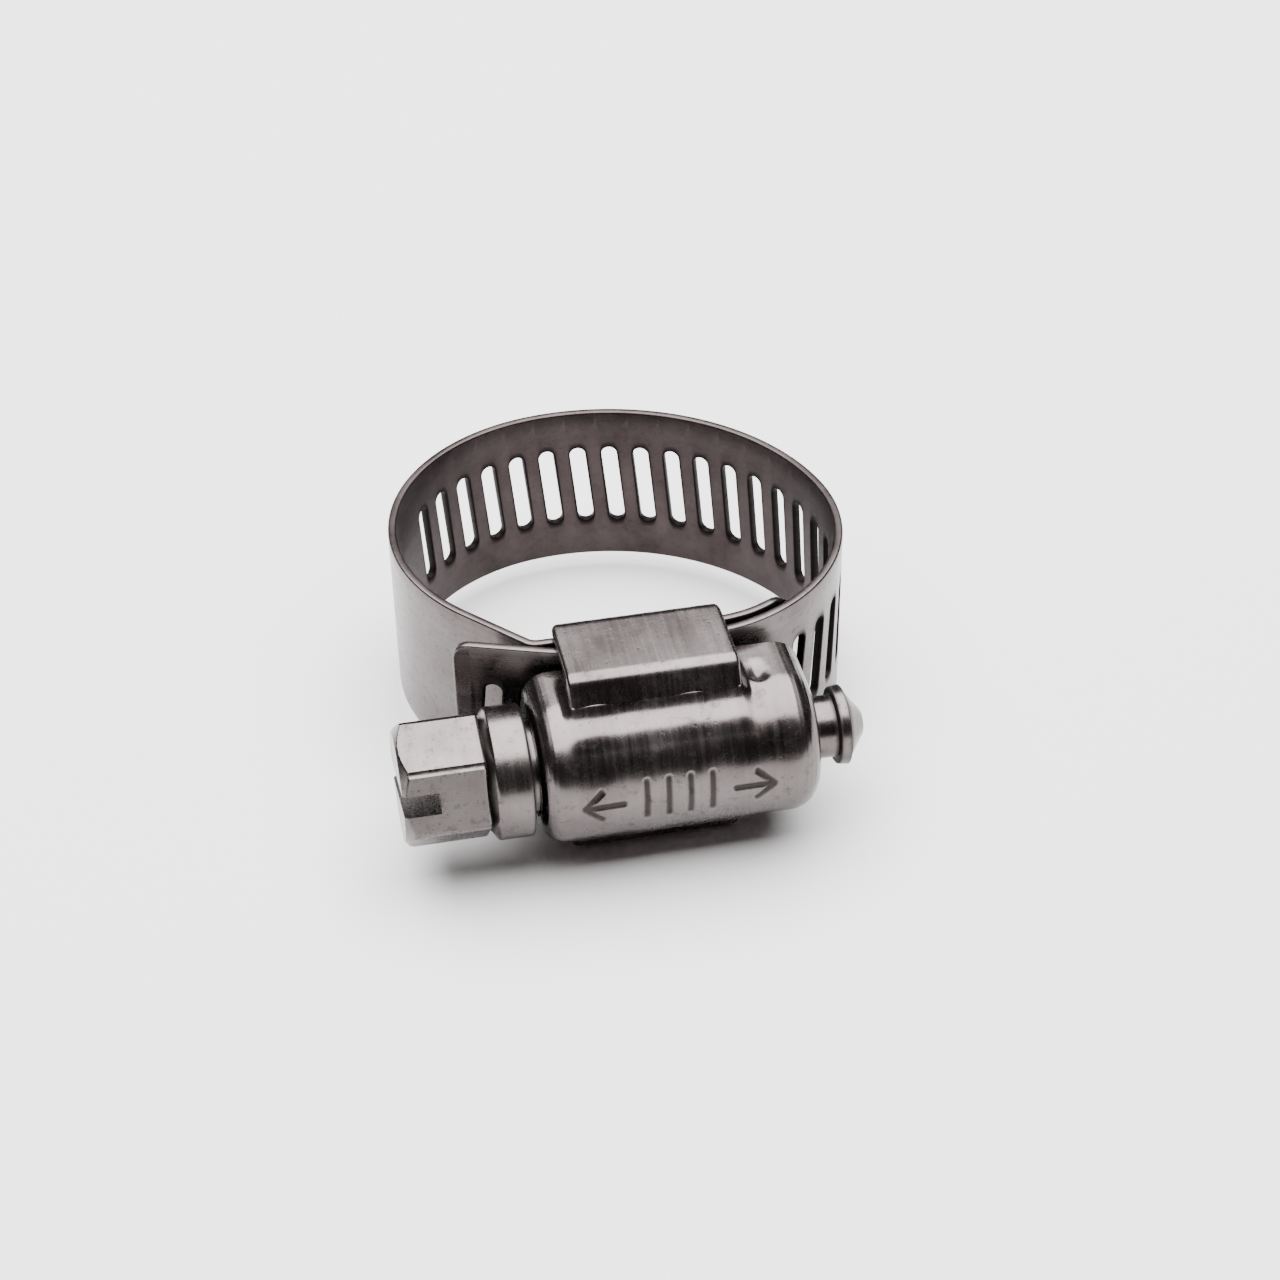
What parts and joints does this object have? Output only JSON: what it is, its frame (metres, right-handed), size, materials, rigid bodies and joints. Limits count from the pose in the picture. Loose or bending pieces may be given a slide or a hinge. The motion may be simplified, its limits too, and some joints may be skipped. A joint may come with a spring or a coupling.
{
  "type": "hose clamp",
  "caption": "Small worm-drive hose clamp: perforated band loop, stamped screw housing and hex-head worm screw that draws the band through.",
  "frame": {"origin": "middle of the base: the centre of the clamp's box in X and Y, at its lowest point in Z", "axes": "+Z along the hose axis through the loop, +X along the worm screw from its hex head to its tip, +Y from the screw towards the loop"},
  "size_m": [0.021, 0.0236, 0.0091],
  "materials": {
    "housing_steel": "satin stamped stainless steel, lightly scratched along the barrel",
    "band_steel": "mill-finish stainless strip, mottled",
    "screw_steel": "cold-formed stainless steel, satin"
  },
  "bodies": {
    "housing": {"screw_housing": "housing_steel", "band_fixed_end": "band_steel"},
    "screw": {"worm_screw": "screw_steel"},
    "strip": {"band_in_channel": "band_steel"},
    "tail_root": {"band_tail_root": "band_steel"},
    "tail_tip": {"band_tail_tip": "band_steel"},
    "loop_01": {"band_length_01": "band_steel"},
    "loop_02": {"band_length_02": "band_steel"},
    "loop_03": {"band_length_03": "band_steel"},
    "loop_04": {"band_length_04": "band_steel"},
    "loop_05": {"band_length_05": "band_steel"},
    "loop_06": {"band_length_06": "band_steel"},
    "loop_07": {"band_length_07": "band_steel"},
    "loop_08": {"band_length_08": "band_steel"},
    "loop_09": {"band_length_09": "band_steel"},
    "loop_10": {"band_length_10": "band_steel"}
  },
  "joints": [
    {"name": "screw_turn", "type": "hinge", "parent": "housing", "child": "screw", "pos_m": [0.00046, -0.00856, 0.00453], "axis": [1, 0, 0], "range_deg": [0, 720]},
    {"name": "strip_slide", "type": "slide", "parent": "housing", "child": "strip", "axis": [-1, 0, 0], "range_m": [0, 0.003]},
    {"name": "tail_root_bend", "type": "hinge", "parent": "strip", "child": "tail_root", "pos_m": [-0.00024, -0.00618, 0.00453], "axis": [0, 0, 1], "range_deg": [-20, 0]},
    {"name": "tail_tip_bend", "type": "hinge", "parent": "tail_root", "child": "tail_tip", "pos_m": [-0.00324, -0.00618, 0.00453], "axis": [0, 0, 1], "range_deg": [0, 20]},
    {"name": "loop_bend_01", "type": "hinge", "parent": "strip", "child": "loop_01", "pos_m": [0.00424, -0.00601, 0.00453], "axis": [0, 0, 1], "range_deg": [-26.38, 0]},
    {"name": "loop_bend_02", "type": "hinge", "parent": "loop_01", "child": "loop_02", "pos_m": [0.00696, -0.00479, 0.00453], "axis": [0, 0, 1], "range_deg": [0, 8.66]},
    {"name": "loop_bend_03", "type": "hinge", "parent": "loop_02", "child": "loop_03", "pos_m": [0.00903, -0.00264, 0.00453], "axis": [0, 0, 1], "range_deg": [0, 3.44]},
    {"name": "loop_bend_04", "type": "hinge", "parent": "loop_03", "child": "loop_04", "pos_m": [0.01031, 0.00161, 0.00453], "axis": [0, 0, 1], "range_deg": [0, 2.7]},
    {"name": "loop_bend_05", "type": "hinge", "parent": "loop_04", "child": "loop_05", "pos_m": [0.00919, 0.00592, 0.00453], "axis": [0, 0, 1], "range_deg": [0, 1.86]},
    {"name": "loop_bend_06", "type": "hinge", "parent": "loop_05", "child": "loop_06", "pos_m": [0.00633, 0.00935, 0.00453], "axis": [0, 0, 1], "range_deg": [0, 1.3]},
    {"name": "loop_bend_07", "type": "hinge", "parent": "loop_06", "child": "loop_07", "pos_m": [0.0023, 0.01129, 0.00453], "axis": [0, 0, 1], "range_deg": [0, 1.34]},
    {"name": "loop_bend_08", "type": "hinge", "parent": "loop_07", "child": "loop_08", "pos_m": [-0.00612, 0.00933, 0.00453], "axis": [0, 0, 1], "range_deg": [0, 2.18]},
    {"name": "loop_bend_09", "type": "hinge", "parent": "loop_08", "child": "loop_09", "pos_m": [-0.00852, 0.00559, 0.00453], "axis": [0, 0, 1], "range_deg": [0, 1.8]},
    {"name": "loop_bend_10", "type": "hinge", "parent": "loop_09", "child": "loop_10", "pos_m": [-0.00871, 0.00115, 0.00453], "axis": [0, 0, 1], "range_deg": [0, 3.1]}
  ],
  "couplings": [
    {"joint": "screw_turn", "follows": "strip_slide", "rad_per_m": 4188.8},
    {"joint": "tail_root_bend", "follows": "strip_slide", "rad_per_m": -116.36},
    {"joint": "tail_tip_bend", "follows": "strip_slide", "rad_per_m": 116.36},
    {"joint": "loop_bend_01", "follows": "strip_slide", "rad_per_m": -153.47},
    {"joint": "loop_bend_02", "follows": "strip_slide", "rad_per_m": 50.382},
    {"joint": "loop_bend_03", "follows": "strip_slide", "rad_per_m": 20.013},
    {"joint": "loop_bend_04", "follows": "strip_slide", "rad_per_m": 15.708},
    {"joint": "loop_bend_05", "follows": "strip_slide", "rad_per_m": 10.821},
    {"joint": "loop_bend_06", "follows": "strip_slide", "rad_per_m": 7.5631},
    {"joint": "loop_bend_07", "follows": "strip_slide", "rad_per_m": 7.7958},
    {"joint": "loop_bend_08", "follows": "strip_slide", "rad_per_m": 12.683},
    {"joint": "loop_bend_09", "follows": "strip_slide", "rad_per_m": 10.472},
    {"joint": "loop_bend_10", "follows": "strip_slide", "rad_per_m": 18.035}
  ]
}
